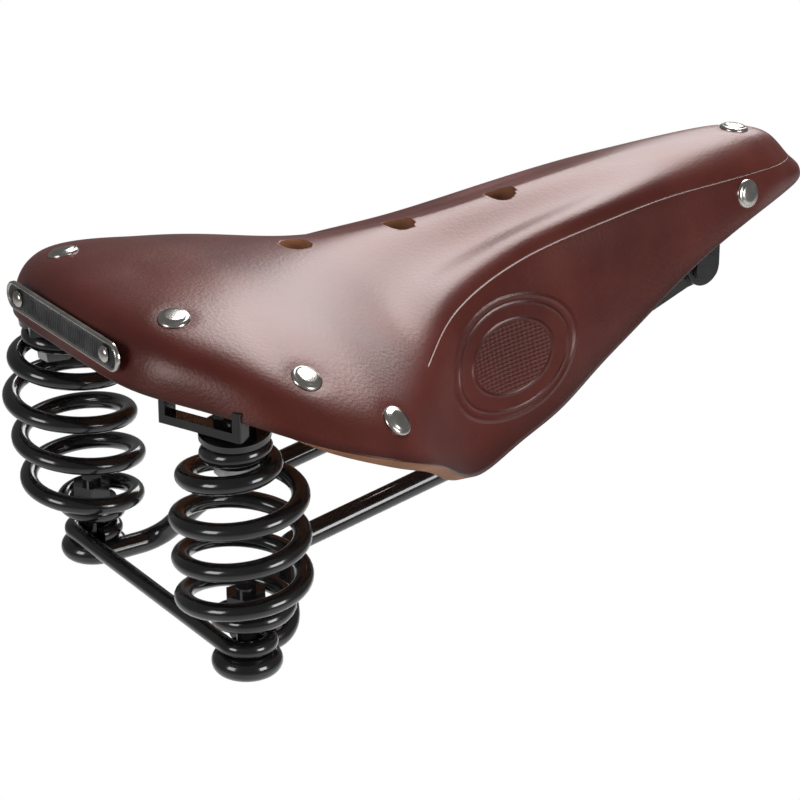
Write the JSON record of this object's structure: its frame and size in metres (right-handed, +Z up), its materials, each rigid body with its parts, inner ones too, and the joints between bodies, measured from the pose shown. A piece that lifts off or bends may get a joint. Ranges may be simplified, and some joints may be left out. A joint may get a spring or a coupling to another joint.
{
  "type": "bicycle saddle",
  "caption": "Sprung bicycle saddle: a tensioned leather top riveted to a rear plate and a nose plate, on round wire rails with coil springs at the back.",
  "frame": {"origin": "midway between the two rails at the middle of their straight clamping stretch, where a seat post clamp grips", "axes": "+X to the nose, +Y to the rider's left, +Z up"},
  "size_m": [0.2752, 0.175, 0.1193],
  "materials": {
    "hide": "satin",
    "bright_metal": "polished",
    "black_enamel": "gloss",
    "zinc": "satin"
  },
  "bodies": {
    "undercarriage": {"rail_left": "black_enamel", "rail_right": "black_enamel", "cross_brace": "black_enamel", "lower_bolts": "black_enamel", "lower_washers": "black_enamel", "lower_nuts": "black_enamel", "front_yoke": "black_enamel", "pivot_pin": "zinc", "spring_left": "black_enamel", "spring_right": "black_enamel"},
    "saddle_top": {"leather_top": "hide", "rear_rivets": "bright_metal", "badge_plate": "bright_metal", "badge_rivets": "bright_metal", "cantle_plate": "black_enamel", "bag_loop_left": "black_enamel", "bag_loop_right": "black_enamel", "spring_cup_left": "black_enamel", "spring_cup_right": "black_enamel", "upper_washer_left": "black_enamel", "upper_washer_right": "black_enamel", "upper_nut_left": "zinc", "upper_nut_right": "zinc", "upper_bolts": "black_enamel", "tension_shackle": "black_enamel"},
    "nose_piece": {"nose_plate": "black_enamel", "nose_rivets": "bright_metal", "tension_bolt": "zinc"},
    "tension_nut": {"tension_nut": "zinc"}
  },
  "joints": [
    {"name": "spring_rock", "type": "hinge", "parent": "undercarriage", "child": "saddle_top", "pos_m": [0.13, 0, 0.0445], "axis": [0, -1, 0], "range_deg": [0, 4.5], "stiffness_Nm_per_rad": 1500, "deforming": ["spring_left", "spring_right"]},
    {"name": "leather_tension", "type": "slide", "parent": "saddle_top", "child": "nose_piece", "axis": [1, 0, 0], "range_m": [0, 0.008], "deforming": ["leather_top"]},
    {"name": "nut_turn", "type": "hinge", "parent": "saddle_top", "child": "tension_nut", "pos_m": [0.139, 0, 0.0655], "axis": [1, 0, 0], "range_deg": [0, 2880]}
  ],
  "couplings": [
    {"joint": "nut_turn", "follows": "leather_tension", "rad_per_m": 6283.2}
  ]
}
